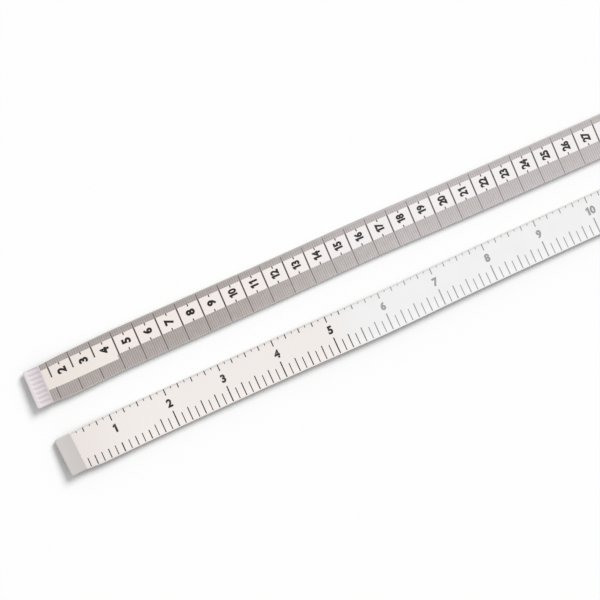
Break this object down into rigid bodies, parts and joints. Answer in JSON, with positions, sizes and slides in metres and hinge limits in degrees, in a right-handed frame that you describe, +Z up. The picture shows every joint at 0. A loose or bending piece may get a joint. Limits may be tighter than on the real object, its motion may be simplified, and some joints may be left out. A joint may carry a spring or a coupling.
{
  "type": "cloth tape measure",
  "caption": "Flexible cloth tape measure with crimped metal end clips, its ends laid flat side by side and its middle rolled up, for reading lengths in centimetres and inches.",
  "frame": {"origin": "on the table, under the middle of the whole object's box", "axes": "+X along the centimetre end from its zero face towards the roll, +Y from the inch end towards the centimetre end, +Z up"},
  "size_m": [0.3894, 0.0504, 0.0177],
  "materials": {
    "tape": "woven cloth with a smooth white vinyl coating, printed in dark ink",
    "clip": "satin, folded and crimped"
  },
  "bodies": {
    "roll": {"rolled_middle": "tape", "cm_twist": "tape", "inch_twist": "tape", "cm_length_5": "tape", "inch_length_5": "tape"},
    "cm_span_4": {"cm_length_4": "tape"},
    "cm_span_3": {"cm_length_3": "tape"},
    "cm_span_2": {"cm_length_2": "tape"},
    "cm_end": {"cm_length_1": "tape", "cm_end_clip": "clip"},
    "inch_span_4": {"inch_length_4": "tape"},
    "inch_span_3": {"inch_length_3": "tape"},
    "inch_span_2": {"inch_length_2": "tape"},
    "inch_end": {"inch_length_1": "tape", "inch_end_clip": "clip"}
  },
  "joints": [
    {"name": "cm_bend_4", "type": "hinge", "parent": "roll", "child": "cm_span_4", "pos_m": [0.0253, 0.0163, 0.00045], "axis": [0, 1, 0], "range_deg": [0, 60]},
    {"name": "cm_bend_3", "type": "hinge", "parent": "cm_span_4", "child": "cm_span_3", "pos_m": [-0.0297, 0.0163, 0.00045], "axis": [0, 1, 0], "range_deg": [0, 60]},
    {"name": "cm_bend_2", "type": "hinge", "parent": "cm_span_3", "child": "cm_span_2", "pos_m": [-0.0847, 0.0163, 0.00045], "axis": [0, 1, 0], "range_deg": [0, 60]},
    {"name": "cm_bend_1", "type": "hinge", "parent": "cm_span_2", "child": "cm_end", "pos_m": [-0.1397, 0.0163, 0.00045], "axis": [0, 1, 0], "range_deg": [0, 60]},
    {"name": "inch_bend_4", "type": "hinge", "parent": "roll", "child": "inch_span_4", "pos_m": [0.0258, -0.01457, 0.00045], "axis": [-0.0079, 1, 0], "range_deg": [0, 60]},
    {"name": "inch_bend_3", "type": "hinge", "parent": "inch_span_4", "child": "inch_span_3", "pos_m": [-0.0292, -0.01501, 0.00045], "axis": [-0.0079, 1, 0], "range_deg": [0, 60]},
    {"name": "inch_bend_2", "type": "hinge", "parent": "inch_span_3", "child": "inch_span_2", "pos_m": [-0.0842, -0.01544, 0.00045], "axis": [-0.0079, 1, 0], "range_deg": [0, 60]},
    {"name": "inch_bend_1", "type": "hinge", "parent": "inch_span_2", "child": "inch_end", "pos_m": [-0.1392, -0.01587, 0.00045], "axis": [-0.0079, 1, 0], "range_deg": [0, 60]}
  ]
}
